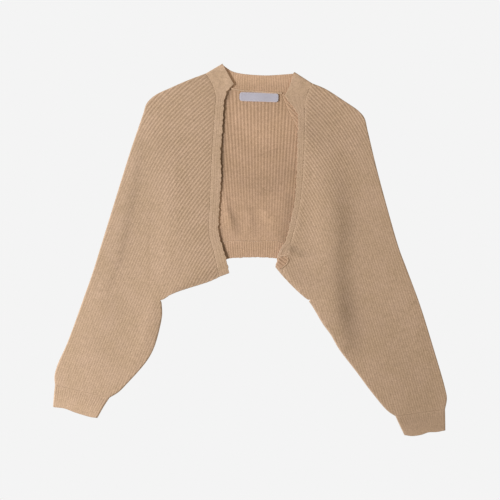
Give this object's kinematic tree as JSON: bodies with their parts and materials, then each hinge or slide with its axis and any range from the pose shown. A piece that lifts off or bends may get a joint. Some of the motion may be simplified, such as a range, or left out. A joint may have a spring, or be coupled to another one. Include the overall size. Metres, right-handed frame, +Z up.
{
  "type": "cropped open-front cardigan",
  "caption": "Cropped open-front cardigan in rib knit with dolman sleeves, ribbed cuffs and a narrow collar band, laid flat with its front up.",
  "frame": {"origin": "middle of the garment's bounding box, on the ground that it lies on", "axes": "+X from the left sleeve to the right sleeve as seen from above, +Y from the hem to the neck, +Z up from the ground"},
  "size_m": [0.7878, 0.7438, 0.0089],
  "materials": {
    "rib_knit": "soft matt wool-like rib knit, camel",
    "fine_rib": "soft matt fine rib knit, camel",
    "knit_inside": "soft matt rib knit, inside of the cloth, camel",
    "woven_label": "smooth woven tape, grey lilac"
  },
  "bodies": {
    "root": {"front_sleeve_left": "rib_knit", "front_sleeve_right": "rib_knit", "cuff_left": "fine_rib", "cuff_right": "fine_rib", "neck_front_band": "fine_rib", "back_panel": "knit_inside", "back_hem_band": "knit_inside", "neck_label": "woven_label"}
  },
  "joints": []
}
